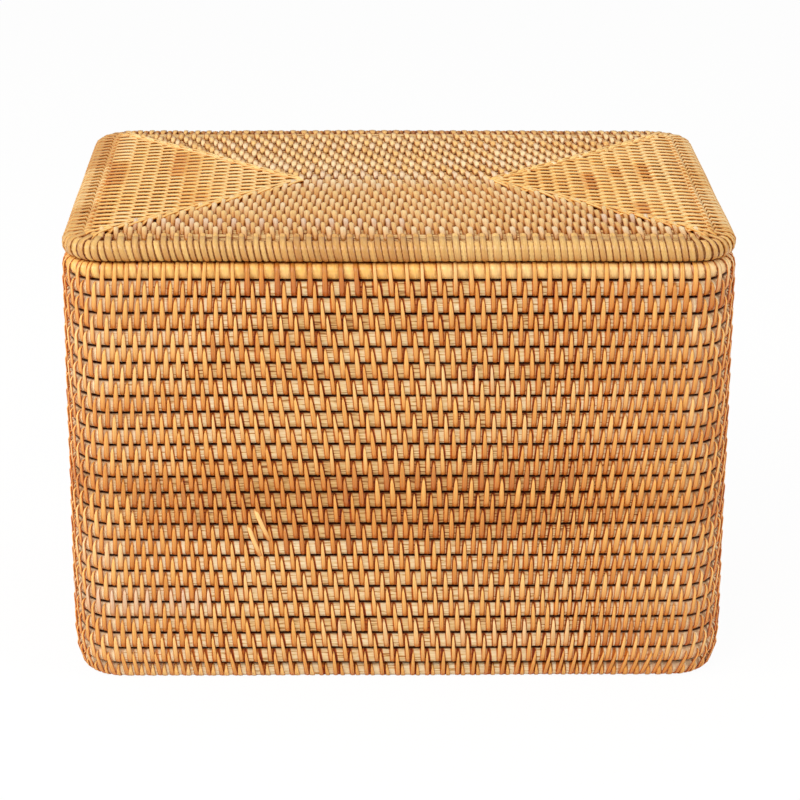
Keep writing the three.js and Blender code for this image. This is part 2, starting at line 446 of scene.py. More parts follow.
@dataclass(frozen=True)
class PaperFloor:
    """Seamless white studio paper: matt, white where the camera looks, with the object's shadow."""

    name: str = "studio_paper"
    colour: str = "f4f3f0"
    white_share: float = 0.95  # how much of what the camera sees of the paper is plain white

    def material(self) -> bpy.types.Material:
        """Makes the paper's material.

        Returns:
            The material.
        """
        material, tree = new_material(self.name)
        add = partial(add_node, tree)
        camera_ray = add("LightPath").outputs["Is Camera Ray"]
        seen = add("Math", {"operation": "MULTIPLY", 1: self.white_share}, {0: camera_ray})
        matt = {"Base Color": linear(self.colour), "Roughness": 0.9, "Specular IOR Level": 0.1}
        paper = add("BsdfPrincipled", matt)
        white = add("Emission", {"Color": WHITE, "Strength": 1.0})
        both = add("MixShader", {}, {0: seen, 1: paper, 2: white})
        add("OutputMaterial", {}, {"Surface": both})
        return material


@dataclass(frozen=True)
class Finishes:
    """The materials of the box, made once and shared by its pieces."""

    core: bpy.types.Material
    lid_core: bpy.types.Material
    peel: bpy.types.Material
    pale_peel: bpy.types.Material  # of the front and back of the lid's coil
    end_peel: bpy.types.Material  # of its two ends
    bead_peel: bpy.types.Material  # of the lid's bead along the front and the back
    bead_end_peel: bpy.types.Material  # of the bead at the two ends, where it is packed close, with lighter edge and tail tints, so less painted shade there


def wobble(place: Vector) -> Vector:
    """Returns the handmade unevenness at a place in metres, the same for a rod and for the peel on it."""
    return noise.noise_vector(place / WOBBLE_LENGTH) * WOBBLE_SIZE


def to_right(heading: Vector) -> Vector:
    """Returns the direction to the right of a heading, which is inwards on a clockwise line."""
    return Vector((heading.y, -heading.x, 0.0))


def upright(heading: Vector) -> Axes:
    """Returns the axes of a stitch that stands upright on a clockwise row: across it, outwards and up."""
    return heading, -to_right(heading), UP


@dataclass(frozen=True)
class Corner:
    """A corner of a rod's line with the radius of its bend, in mm."""

    x: float
    y: float
    bend: float


@dataclass(frozen=True)
class Span:
    """A straight or a right-hand quarter bend of a rod's line, in mm."""

    start: Vector
    heading: Vector
    length: float
    bend: float


class RodLine:
    """Level middle line of a rod, clockwise seen from above: straights joined by quarter bends."""

    STEP = 6.0  # longest stretch between two points of the sweep, mm
    LEAST = 1e-6
    BEND_STEPS = 6  # points in a quarter bend

    def __init__(self, corners: Sequence[Corner], closed: bool) -> None:
        """Works out the spans.

        Args:
            corners: Corners in order; the two ends of an open line have no bend.
            closed: Whether the last corner joins the first.
        """
        self.closed = closed
        self.spans: list[Span] = []
        self.starts: list[float] = []
        self.length = 0.0
        points = [Vector((corner.x, corner.y, 0.0)) for corner in corners]
        for index, corner in enumerate(corners):
            ahead = (index + 1) % len(corners)
            if ahead == 0 and not closed:
                break
            bend = corners[ahead].bend
            heading = (points[ahead] - points[index]).normalized()
            start = points[index] + heading * corner.bend
            end = points[ahead] - heading * bend
            self._add(Span(start, heading, (end - start).length, 0.0))
            if bend > 0:
                self._add(Span(end, heading, bend * math.pi / 2, bend))

    def _add(self, span: Span) -> None:
        """Adds a span at the end of the line, unless it has no length.

        Args:
            span: The straight or bend.
        """
        if span.length < self.LEAST:
            return
        self.starts.append(self.length)
        self.spans.append(span)
        self.length += span.length

    def at(self, distance: float) -> tuple[Vector, Vector]:
        """Finds a place on the line.

        Args:
            distance: How far along the line, in mm.

        Returns:
            The point in metres and the heading there.
        """
        if self.closed:
            distance %= self.length
        index = max(0, bisect.bisect_right(self.starts, distance) - 1)
        span = self.spans[index]
        gone = distance - self.starts[index]
        if span.bend == 0:
            return (span.start + span.heading * gone) * MM, span.heading.copy()
        angle = gone / span.bend
        inwards = to_right(span.heading)
        centre = span.start + inwards * span.bend
        point = centre + (span.heading * math.sin(angle) - inwards * math.cos(angle)) * span.bend
        heading = span.heading * math.cos(angle) + inwards * math.sin(angle)
        return point * MM, heading

    def stations(self) -> list[float]:
        """Works out where a sweep has its points.

        Returns:
            Distances along the line; a closed rod's ends meet halfway along its first side.
        """
        found: list[float] = []
        for start, span in zip(self.starts, self.spans):
            steps = self.BEND_STEPS if span.bend else max(1, math.ceil(span.length / self.STEP))
            found.extend(start + span.length * step / steps for step in range(steps))
        if not self.closed:
            return [*found, self.length]
        joint = self.spans[0].length / 2
        after = [distance for distance in found if distance > joint]
        before = [distance + self.length for distance in found if distance < joint]
        return [joint, *after, *before, joint + self.length]

    @classmethod
    def loop(cls, length: float, depth: float, bend: float) -> RodLine:
        """Makes the line of a closed row.

        Args:
            length: Size along X, mm.
            depth: Size along Y, mm.
            bend: Radius of its corners, mm.

        Returns:
            The line.
        """
        signs = ((1, 1), (1, -1), (-1, -1), (-1, 1))
        return cls([Corner(x * length / 2, y * depth / 2, bend) for x, y in signs], True)


def new_piece(
    name: str,
    mesh: bpy.types.Mesh,
    body: Body,
    slot: Slot,
    finish: bpy.types.Material,
) -> bpy.types.Object:
    """Puts a mesh in the scene as a piece of the box.

    Args:
        name: Name of the piece.
        mesh: Its mesh, in place.
        body: The part it moves with.
        slot: The record's material slot; not used.
        finish: Its material.

    Returns:
        The piece.
    """
    mesh.name = name
    mesh.materials.append(finish)
    piece = bpy.data.objects.new(name, mesh)
    bpy.context.scene.collection.objects.link(piece)
    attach(piece, body.value)
    LOG.info("%s: %d points", name, len(mesh.vertices))
    return piece


def set_attribute(mesh: bpy.types.Mesh, name: str, values: np.ndarray) -> None:
    """Gives the points of a mesh an attribute.

    Args:
        mesh: The mesh.
        name: Name that the material reads.
        values: One number or vector for each point.
    """
    kind, field = ("FLOAT", "value") if values.ndim == 1 else ("FLOAT_VECTOR", "vector")
    attribute = mesh.attributes.new(name, kind, "POINT")
    attribute.data.foreach_set(field, np.ascontiguousarray(values, dtype=np.float32).ravel())


def unlashed(_distance: float) -> Counts:
    """Returns stitch counts that are nowhere near a stitch, for a rod that gets no painted shade from its
    stitches.
    """
    return 0.5, 0.5, 8.0, 0.0


@dataclass(frozen=True)
class Rod:
    """A round rod swept along a line, with what the core finish reads on its points."""

    line: RodLine
    level: float  # height of its middle, m
    radius: float  # mm
    tone: float  # paleness of the core, 0 to 1
    seed: int
    stacked: bool = True  # whether its neighbours lie above and below, or beside it
    lash: StitchCount = unlashed
    corner_gain: float = 0.0  # how much paler it is where its stitches are closest

    SIDES = 12
    TONE_LENGTH = 60 * MM
    TONE_SPREAD = 0.2
    TONE_STEP = 0.37  # from seed to seed in the noise of the tone
    KNOT_LENGTH = 15 * MM
    KNOT_SIZE = 0.03
    KNOT_STEP = 0.61  # from seed to seed in the noise of the knots

    def mesh(self) -> bpy.types.Mesh:
        """Sweeps the rod, with closed ends.

        Returns:
            Its mesh, in place, with what the core finish reads.
        """
        stations = self.line.stations()
        spots = [self.line.at(distance) for distance in stations]
        curve = bpy.data.curves.new("rod", "CURVE")
        curve.dimensions = "3D"
        curve.bevel_depth = self.radius * MM
        curve.bevel_resolution = self.SIDES // 2 - 2
        spline = curve.splines.new("POLY")
        spline.points.add(len(spots) - 1)
        shift = Vector((0.0, self.seed * self.KNOT_STEP, 0.0))
        for point, (place, _) in zip(spline.points, spots):
            true = place + UP * self.level
            point.co = (*(true + wobble(true)), 1.0)
            point.radius = 1.0 + self.KNOT_SIZE * noise.noise(true / self.KNOT_LENGTH + shift)
        carrier = bpy.data.objects.new("rod", curve)
        mesh = bpy.data.meshes.new_from_object(carrier)
        bpy.data.objects.remove(carrier)
        bpy.data.curves.remove(curve)
        mesh.polygons.foreach_set("use_smooth", [True] * len(mesh.polygons))
        work = bmesh.new()
        work.from_mesh(mesh)
        bmesh.ops.holes_fill(work, edges=[edge for edge in work.edges if edge.is_boundary])
        work.to_mesh(mesh)
        work.free()
        self._dress(mesh, stations, spots)
        return mesh

    def _dress(
        self,
        mesh: bpy.types.Mesh,
        stations: Sequence[float],
        spots: Sequence[tuple[Vector, Vector]],
    ) -> None:
        """Adds the grain, the tone, the place on the section and the stitch counts to the rod's points.

        Args:
            mesh: The rod's mesh, whose points come section by section.
            stations: Distances of the sections along the line.
            spots: Places and headings of the sections.
        """
        headings = np.array([heading[:] for _, heading in spots])
        shift = Vector((self.seed * self.TONE_STEP, 0.0, 0.0))
        shades = [noise.noise(place / self.TONE_LENGTH + shift) for place, _ in spots]
        counts = np.array([self.lash(distance) for distance in stations])
        closeness = np.clip((SIDE_PITCH - counts[:, 2]) / (SIDE_PITCH - CORNER_PITCH), 0.0, 1.0)
        tones = self.tone + self.TONE_SPREAD * np.array(shades) + self.corner_gain * closeness
        counts = np.repeat(counts, self.SIDES, axis=0)
        section = self._section(mesh, headings)
        counts[:, :2] -= counts[:, 3:] * section[:, :1]
        set_attribute(mesh, "grain", np.repeat(headings, self.SIDES, axis=0))
        set_attribute(mesh, "tone", np.repeat(tones, self.SIDES, axis=0))
        set_attribute(mesh, "lash", counts[:, :3])
        set_attribute(mesh, "section", section)

    def _section(self, mesh: bpy.types.Mesh, headings: np.ndarray) -> np.ndarray:
        """Measures where on the rod's section each point is.

        Args:
            mesh: The rod's mesh.
            headings: Direction of the rod at each section.

        Returns:
            For each point, its shares of the radius towards the next rod and towards the work's face.
        """
        points = np.zeros(len(mesh.vertices) * 3, dtype=np.float32)
        mesh.vertices.foreach_get("co", points)
        sections = points.reshape(len(headings), self.SIDES, 3)
        offsets = (sections - sections.mean(axis=1, keepdims=True)) / (self.radius * MM)
        level = np.zeros(len(headings))
        outwards = np.stack([-headings[:, 1], headings[:, 0], level], axis=1)
        upwards = np.tile(UP[:], (len(headings), 1))
        to_next, to_face = (upwards, outwards) if self.stacked else (-outwards, upwards)
        shares = [np.einsum("ijk,ik->ij", offsets, way).ravel() for way in (to_next, to_face)]
        return np.stack([*shares, np.zeros(len(mesh.vertices))], axis=1)

    def lay(self, name: str, body: Body, finish: bpy.types.Material, node: str | None = None) -> None:
        """Puts the rod in the scene.

        Args:
            name: Name of the piece.
            body: The part it moves with.
            finish: Its material.
            node: The frame's solid that it stands for, if any.
        """
        piece = new_piece(name, self.mesh(), body, Slot.CORE, finish)
        if node:
            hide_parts(node)


@dataclass(frozen=True)
class Ring:
    """A section of a peel strip, in mm, in the frame of its stitch."""

    out: float  # away from the rods
    up: float  # along the stitch
    width: float
    thick: float
    aside: float = 0.0


class StitchShape:
    """Mesh of one stitch, in mm: X across the strip, Y away from the rods, Z along the stitch."""

    MERGE = 1e-4  # mm
    RADIX = 1000  # more than the points of any stitch

    def __init__(self) -> None:
        """Starts an empty stitch."""
        self.work = bmesh.new()
        self.strip = self.work.verts.layers.float_vector.new("strip")

    def sweep(self, rings: Sequence[Ring], sides: int = 6, closed: bool = False) -> StitchShape:
        """Adds a strip through a row of sections.

        Args:
            rings: Sections in order, from the head of the strip.
            sides: Corners of each section.
            closed: Whether the strip runs round into itself.

        Returns:
            The stitch itself.
        """
        frames = self._frames(rings, sides, closed)
        made = bmesh.ops.create_circle(self.work, segments=sides, radius=1.0, matrix=frames[0])["verts"]
        edges = list(dict.fromkeys(edge for vert in made for edge in vert.link_edges))
        first = edges
        self._mark(made, rings[0], 0.0)
        faces: list[bmesh.types.BMFace] = []
        rounds = [*range(1, len(rings)), *([0] if closed else [])]
        before = 0
        for step, index in enumerate(rounds, start=1):
            grown = bmesh.ops.extrude_edge_only(self.work, edges=edges)["geom"]
            made = [part for part in grown if isinstance(part, bmesh.types.BMVert)]
            faces += [part for part in grown if isinstance(part, bmesh.types.BMFace)]
            fresh = set(made)
            grown_edges = [part for part in grown if isinstance(part, bmesh.types.BMEdge)]
            edges = [edge for edge in grown_edges if fresh.issuperset(edge.verts)]
            turn = frames[index] @ frames[before].inverted()
            bmesh.ops.transform(self.work, matrix=turn, verts=made)
            self._mark(made, rings[index], step / len(rounds))
            before = index
        if not closed:
            for loop in (first, edges):
                faces += bmesh.ops.contextual_create(self.work, geom=loop)["faces"]
        for face in faces:
            face.smooth = True
        return self

    def _frames(self, rings: Sequence[Ring], sides: int, closed: bool) -> list[Matrix]:
        """Works out where each section stands.

        Args:
            rings: The sections.
            sides: Corners of each section.
            closed: Whether the last section is followed by the first.

        Returns:
            One matrix for each section, from a flat circle to its place.
        """
        reach = HEXAGON_REACH if sides == 6 else SQUARE_REACH
        frames = []
        last = len(rings) - 1
        for index, ring in enumerate(rings):
            before = rings[index - 1] if index > 0 or closed else ring
            after = rings[(index + 1) % len(rings)] if index < last or closed else ring
            way = Vector((0.0, after.out - before.out, after.up - before.up)).normalized()
            face = Vector((0.0, -way.z, way.y))
            frame = Matrix.Identity(4)
            frame.col[0] = (ring.width / 2 / reach, 0.0, 0.0, 0.0)
            frame.col[1] = (*(face * ring.thick / 2), 0.0)
            frame.col[2] = (*way, 0.0)
            frame.col[3] = (ring.aside, ring.out, ring.up, 1.0)
            frames.append(frame)
        return frames

    def _mark(self, verts: Sequence[bmesh.types.BMVert], ring: Ring, along: float) -> None:
        """Writes how far across and along the strip the points of a section are."""
        for vert in verts:
            vert[self.strip] = ((vert.co.x - ring.aside) / (ring.width / 2), along, 0.0)

    def _face_order(self, face: bmesh.types.BMFace) -> int:
        """Returns a number that sorts faces by their points, the same in each run."""
        first, second, *_, last = sorted(vert.index for vert in face.verts)
        return (first * self.RADIX + second) * self.RADIX + last

    def mesh(self, name: str) -> bpy.types.Mesh:
        """Ends the work: joins its seams and puts its faces in order.

        Args:
            name: Name of the mesh.

        Returns:
            The stitch.
        """
        bmesh.ops.remove_doubles(self.work, verts=self.work.verts, dist=self.MERGE)
        bmesh.ops.recalc_face_normals(self.work, faces=self.work.faces)
        self.work.verts.index_update()
        self.work.faces.sort(key=self._face_order)
        mesh = bpy.data.meshes.new(name)
        self.work.to_mesh(mesh)
        self.work.free()
        return mesh


class HeadRing(NamedTuple):
    """A section of the head of a stitch, on the rod that it comes out of."""

    share: float  # height over the middle of the rod, as a share of its radius
    lift: float  # off the rod, mm
    width: float  # share of the peel's width
    thick: float  # share of its thickness


class BodyRing(NamedTuple):
    """A section of a stitch past its head."""

    place: float  # height between two rods as a share of their radius, or degrees on the second rod
    lift: float  # off the rods, mm
    width: float  # share of the peel's width


@dataclass(frozen=True)
class StitchForm:
    """How a stitch runs over two rods."""

    head: tuple[HeadRing, ...]
    arch: tuple[BodyRing, ...]  # between the rods
    tail: tuple[BodyRing, ...]  # on the second rod, in degrees from the work's face
    thick: float = 1.0  # share of the peel's thickness


WALL_STITCH = StitchForm(
    head=(
        HeadRing(0.77, -0.35, 0.1, 0.5),
        HeadRing(0.67, 0.3, 0.28, 0.85),
        HeadRing(0.45, 0.75, 0.5, 1.0),
        HeadRing(0.12, 0.9, 0.7, 1.0),
    ),
    arch=(BodyRing(0.5, 0.72, 0.86), BodyRing(0.0, 0.5, 0.98)),
    tail=(BodyRing(-5, 0.22, 1.05), BodyRing(-38, 0.0, 1.08), BodyRing(-73, -0.2, 1.0)),
)
LID_GRAIN = StitchForm(
    head=(
        HeadRing(0.64, -0.6, 0.36, 1.0),
        HeadRing(0.57, 0.15, 0.7, 1.9),
        HeadRing(0.4, 0.6, 0.92, 2.5),
        HeadRing(0.1, 0.8, 1.02, 2.7),
        HeadRing(-0.25, 0.75, 1.02, 2.6),
    ),
    arch=(BodyRing(0.4, 0.6, 1.0), BodyRing(0.0, 0.35, 0.96)),
    tail=(BodyRing(-5, 0.1, 0.92), BodyRing(-38, -0.2, 0.86), BodyRing(-70, -0.6, 0.76)),
    thick=2.0,
)
LID_LENS = StitchForm(
    head=(
        HeadRing(0.84, -0.3, 0.4, 0.6),
        HeadRing(0.74, 0.3, 0.76, 0.8),
        HeadRing(0.45, 0.7, 1.02, 1.0),
        HeadRing(0.1, 0.85, 1.1, 1.0),
    ),
    arch=(BodyRing(0.5, 0.85, 1.06), BodyRing(0.0, 0.75, 1.06)),
    tail=(BodyRing(-5, 0.45, 1.1), BodyRing(-38, 0.1, 1.12), BodyRing(-74, -0.3, 1.0)),
)

# Sections of strips on a rod's round: degrees from the work's face, and mm off the rod.
OVER_TOP = ((165, 0.1), (135, 0.1), (105, 0.12), (75, 0.3), (45, 0.55), (15, 0.75))
UNDER_FOOT = ((-25, 0.6), (-55, 0.2), (-80, -0.1), (-115, -0.15), (-150, -0.15))
OVER_BEAD = ((98, 0.4), (70, 0.4), (42, 0.4), (14, 0.4), (-14, 0.4), (-42, 0.4))
UNDER_BEAD = ((-66, 0.2), (-90, -0.1), (-115, -0.1))
BEAD_FACING = 44.0  # direction of the first row's face where a wrap's head lies on it, degrees
BRIDGE_PLACE = 0.5  # of a wrap's section between the bead and the first row, as a share of the way
BRIDGE_LIFT = 0.95  # of that section off the bead, mm

# How thick a strip is pressed, as a share of the peel's thickness, and how wide, of its width.
TOP_THICK, TOP_WIDTH = 0.7, 0.84
TAIL_THICK = 0.9
BEHIND_THICK = 0.6
FOOT_THICK = 0.7
BRIDGE_THICK = 1.3
BEAD_THICK = 1.1
UNDER_BEAD_WIDTH = 0.9

# The strip behind two rods: shares of the pitch along it and of the radius away from the rods.
BEHIND = ((-0.94, 0.3), (-0.6, 1.0), (0.0, 1.04), (0.6, 1.0), (0.94, 0.3))
BEHIND_SLANT = 3.2  # how far aside it goes in a pitch, mm

# A strip's end over two rods: share of the pitch along it, mm off the rods, and share of the peel's width.
LAID_FORM = (
    (0.98, -1.4, 0.8),
    (0.88, 0.5, 1.0),
    (0.6, 1.7, 1.08),
    (0.1, 1.8, 1.1),
    (-0.4, 1.6, 1.1),
    (-0.86, 0.9, 1.02),
    (-0.98, -1.4, 0.9),
)


def over_rod(
    core: float,
    degrees: float,
    lift: float,
    middle: tuple[float, float] = (0.0, 0.0),
) -> tuple[float, float]:
    """Finds a place over a rod's round.

    Args:
        core: Radius of the rod, mm.
        degrees: Direction from the rod's middle, 0 outwards and 90 along the stitch.
        lift: How far off its surface, mm.
        middle: Middle of the rod in the stitch's frame, outwards and along it.

    Returns:
        The place, outwards and along the stitch, in mm.
    """
    angle = math.radians(degrees)
    return middle[0] + (core + lift) * math.cos(angle), middle[1] + (core + lift) * math.sin(angle)


def head(
    shape: Sequence[HeadRing],
    core: float,
    wide: float,
    middle: tuple[float, float] = (0.0, 0.0),
    facing: float = 0.0,
) -> list[Ring]:
    """Lays the head of a stitch on a rod.

    Args:
        shape: Its sections.
        core: Radius of the rod, mm.
        wide: Width of the peel, mm.
        middle: Middle of the rod in the stitch's frame, outwards and along it.
        facing: Direction of the work's face there, in degrees.

    Returns:
        The sections in place.
    """
    rings = []
    for share, lift, width, thick in shape:
        place = over_rod(core, facing + math.degrees(math.asin(share)), lift, middle)
        rings.append(Ring(*place, wide * width, PEEL_THICK * thick))
    return rings


def over_two_rows(
    core: float,
    pitch: float,
    wide: float,
    form: StitchForm,
    top: bool = False,
) -> bpy.types.Mesh:
    """Makes the stitch that holds two rows together, arched up where its head comes out of the slit.

    Args:
        core: Radius of the rods, mm.
        pitch: Distance between the rods, mm.
        wide: Width of the peel, mm.
        form: How it runs.
        top: Whether it goes right over the first rod instead of coming out of it.

    Returns:
        A stitch with the strip that shows and the strip behind.
    """
    half = pitch / 2
    thick = PEEL_THICK * form.thick
    if top:
        places = [over_rod(TOP_CORE_RADIUS, degrees, lift, (0.0, half)) for degrees, lift in OVER_TOP]
        face = [Ring(*place, wide * TOP_WIDTH, PEEL_THICK * TOP_THICK) for place in places]
    else:
        face = head(form.head, core, wide, (0.0, half))
    for place, lift, width in form.arch:
        face.append(Ring(core + lift, half - core + place * core, wide * width, thick))
    for degrees, lift, width in form.tail:
        over = over_rod(core, degrees, lift, (0.0, -half))
        face.append(Ring(*over, wide * width, thick * TAIL_THICK))
    behind = []
    for place, reach in BEHIND:
        aside = place * BEHIND_SLANT
        behind.append(Ring(-core * reach, pitch * place, wide, PEEL_THICK * BEHIND_THICK, aside))
    return StitchShape().sweep(face).sweep(behind, 4).mesh("stitch_over_two_rows")


def round_foot(core: float) -> bpy.types.Mesh:
    """Makes the stitch that runs under the lowest row.

    Args:
        core: Radius of the rod, mm.

    Returns:
        The stitch.
    """
    rings = head(WALL_STITCH.head, core, PEEL_WIDTH)
    for degrees, lift in UNDER_FOOT:
        rings.append(Ring(*over_rod(core, degrees, lift), PEEL_WIDTH, PEEL_THICK * FOOT_THICK))
    return StitchShape().sweep(rings).mesh("stitch_round_foot")


def round_rod(core: float, lift: float, width: float, thick: float) -> bpy.types.Mesh:
    """Makes a wrap that goes once round a rod.

    Args:
        core: Radius of the rod, mm.
        lift: Middle of the peel off the rod, mm.
        width: Width of the peel, mm.
        thick: Thickness of the peel, mm.

    Returns:
        A closed ring of peel.
    """
    count = 12
    rings = []
    for step in range(count):
        rings.append(Ring(*over_rod(core, 90 - 360 * step / count, lift), width, thick))
    return StitchShape().sweep(rings, closed=True).mesh("wrap_round_rod")


def round_rim(core: float, row: tuple[float, float], row_core: float, width: float) -> bpy.types.Mesh:
    """Makes the long wrap of the bead, whose head lies on the first row of the lid.

    Args:
        core: Radius of the bead inside its peel, mm.
        row: Middle of the first row from the middle of the bead, outwards and upwards, mm.
        row_core: Radius of the first row, mm.
        width: Width of the peel, mm.

    Returns:
        The wrap.
    """
    rings = head(LID_GRAIN.head, row_core, width, row, BEAD_FACING)
    rings.append(Ring(row[0] * BRIDGE_PLACE, core + BRIDGE_LIFT, width, PEEL_THICK * BRIDGE_THICK))
    for degrees, lift in OVER_BEAD:
        rings.append(Ring(*over_rod(core, degrees, lift), width, PEEL_THICK * BEAD_THICK))
    for degrees, lift in UNDER_BEAD:
        rings.append(Ring(*over_rod(core, degrees, lift), width * UNDER_BEAD_WIDTH, PEEL_THICK))
    return StitchShape().sweep(rings).mesh("wrap_round_rim")


def laid_end(core: float, pitch: float, wide: float) -> bpy.types.Mesh:
    """Makes the end of a used strip, laid over two rows and tucked into the lines above and below them.

    Args:
        core: Radius of the rods, mm.
        pitch: Distance between the rods, mm.
        wide: Width of the peel, mm.

    Returns:
        The strip.
    """
    rings = [Ring(core + lift, pitch * place, wide * width, PEEL_THICK) for place, lift, width in LAID_FORM]
    return StitchShape().sweep(rings).mesh("laid_end")


class PeelSupply:
    """Peel as the weaver takes it: each strip makes a run of stitches of one tone and width."""

    RUN = (6, 26)  # stitches in a strip
    WIDTHS = (0.86, 1.16)
    LEAST_TONE = 0.24
    FLICKER = 0.06  # how much the tone changes along a strip
    BROWN_RUN = (3, 7)
    BROWN_TONE = 0.42

    def __init__(self, seed: int, brown: float = 0.0) -> None:
        """Starts with no strip in hand.

        Args:
            seed: Start of the random draws.
            brown: Share of strips that are short and brown.
        """
        self.draw = random.Random(seed)
        self.brown = brown
        self.left = 0
        self.tone = 0.5
        self.width = 1.0

    def take(self, mean: float, spread: float = 0.12) -> tuple[float, float]:
        """Takes peel for one stitch.

        Args:
            mean: Usual paleness of the peel here, 0 to 1.
            spread: How much strips differ.

        Returns:
            Paleness of this stitch, and its width as a share of the usual one.
        """
        if self.left == 0:
            self.left = self.draw.randint(*self.RUN)
            self.tone = max(self.LEAST_TONE, self.draw.gauss(mean, spread))
            self.width = self.draw.uniform(*self.WIDTHS)
            if self.draw.random() < self.brown:
                self.left = self.draw.randint(*self.BROWN_RUN)
                self.tone = self.BROWN_TONE
        self.left -= 1
        return min(1.0, self.tone + self.draw.uniform(-self.FLICKER, self.FLICKER)), self.width


class Lashing:
    """Stitches of one shape that make up one piece."""

    WIDTHS = (0.93, 1.07)
    LENGTHS = (0.985, 1.015)
    LEAN_SPREAD = 0.02

    def __init__(self, shape: bpy.types.Mesh, seed: int) -> None:
        """Starts an empty row of stitches.

        Args:
            shape: Mesh of one stitch.
            seed: Start of its random draws.
        """
        self.shape = shape
        self.draw = random.Random(seed)
        self.places: list[Matrix] = []
        self.tones: list[float] = []

    def add(
        self,
        place: Vector,
        axes: Axes,
        peel: tuple[float, float],
        lean: float = 0.0,
        scale: tuple[float, float, float] = (1.0, 1.0, 1.0),
    ) -> None:
        """Adds a stitch.

        Args:
            place: Its middle, m.
            axes: Directions across it, away from the rods and along it.
            peel: Paleness and width of its peel.
            lean: Slope across for each unit along.
            scale: Its size across, away and along, as shares of the shape's.
        """
        across, away, along = axes
        tone, width = peel
        wide = scale[0] * width * self.draw.uniform(*self.WIDTHS)
        long = scale[2] * self.draw.uniform(*self.LENGTHS)
        slope = lean + self.draw.gauss(0.0, self.LEAN_SPREAD)
        matrix = Matrix.Identity(4)
        matrix.col[0] = (*(across * wide * MM), 0.0)
        matrix.col[1] = (*(away * scale[1] * MM), 0.0)
        matrix.col[2] = (*((along + across * slope) * long * MM), 0.0)
        matrix.col[3] = (*(place + wobble(place)), 1.0)
        self.places.append(matrix)
        self.tones.append(tone)

    def mesh(self) -> bpy.types.Mesh:
        """Joins all the stitches.

        Returns:
            One mesh, in place, with what the peel finish reads.
        """
        work = bmesh.new()
        for matrix in self.places:
            copy = self.shape.copy()
            copy.transform(matrix)
            work.from_mesh(copy)
            bpy.data.meshes.remove(copy)
        mesh = bpy.data.meshes.new("lashing")
        work.to_mesh(mesh)
        work.free()
        size = len(self.shape.vertices)
        strip = np.zeros(size * 3, dtype=np.float32)
        self.shape.attributes["strip"].data.foreach_get("vector", strip)
        strips = np.tile(strip.reshape(-1, 3), (len(self.places), 1))
        strips[:, 2] = np.repeat([self.draw.random() for _ in self.places], size)
        stale = mesh.attributes.get("strip")
        if stale is not None:
            mesh.attributes.remove(stale)
        set_attribute(mesh, "strip", strips)
        set_attribute(mesh, "tone", np.repeat(self.tones, size))
        return mesh

    def lay(self, name: str, body: Body, finish: bpy.types.Material) -> None:
        """Puts the stitches in the scene."""
        new_piece(name, self.mesh(), body, Slot.PEEL, finish)


class RowSpacing:
    """Where the stitches of a closed row stand: closer at the corners, wider along the sides."""

    SAMPLES = 2400

    def __init__(self, line: RodLine, ease: float) -> None:
        """Measures the row.

        Args:
            line: Middle line of the row.
            ease: Distance from a corner at which the pitch is the side's, mm.
        """
        half = line.length / 2
        bends = [start + span.length / 2 for start, span in zip(line.starts, line.spans) if span.bend > 0]
        at = np.linspace(0.0, line.length, self.SAMPLES)
        away = np.min([np.abs((at - bend + half) % line.length - half) for bend in bends], axis=0)
        share = np.clip(away / ease, 0.0, 1.0)
        share = share * share * (3 - 2 * share)
        pitch = CORNER_PITCH + (SIDE_PITCH - CORNER_PITCH) * share
        density = 0.5 * (1 / pitch[1:] + 1 / pitch[:-1])
        counted = np.concatenate([[0.0], np.cumsum(density * np.diff(at))])
        self.count = round(float(counted[-1]))
        self.counted = counted * self.count / counted[-1]
        self.shares = at / line.length
        self.pitches = pitch

    def share(self, number: float) -> float:
        """Returns how far round the row a stitch number is, as a share of the row."""
        return float(np.interp(number % self.count, self.counted, self.shares))

    def number(self, share: float) -> float:
        """Returns the stitch number at a share of the row, which goes on counting past a whole round."""
        rounds = math.floor(share)
        return rounds * self.count + float(np.interp(share - rounds, self.shares, self.counted))

    def pitch(self, share: float) -> float:
        """Returns the stitch pitch at a share of the row, mm."""
        return float(np.interp(share % 1.0, self.shares, self.pitches))


class LaidEnd(NamedTuple):
    """Where the end of a strip lies on the wall."""

    row: int  # upper row, from the top
    x: float  # mm
    y: float  # mm
    lean: float


LAID_TONE = 0.72
LAID_ENDS = (
    LaidEnd(15, -73.5, -126.0, 0.4),
    LaidEnd(16, -78.0, -126.0, 0.37),
    LaidEnd(7, 62.0, 126.0, 0.4),
    LaidEnd(8, 67.0, 126.0, 0.45),
    LaidEnd(18, 179.0, 34.0, 0.42),
    LaidEnd(11, -179.0, -28.0, 0.4),
)


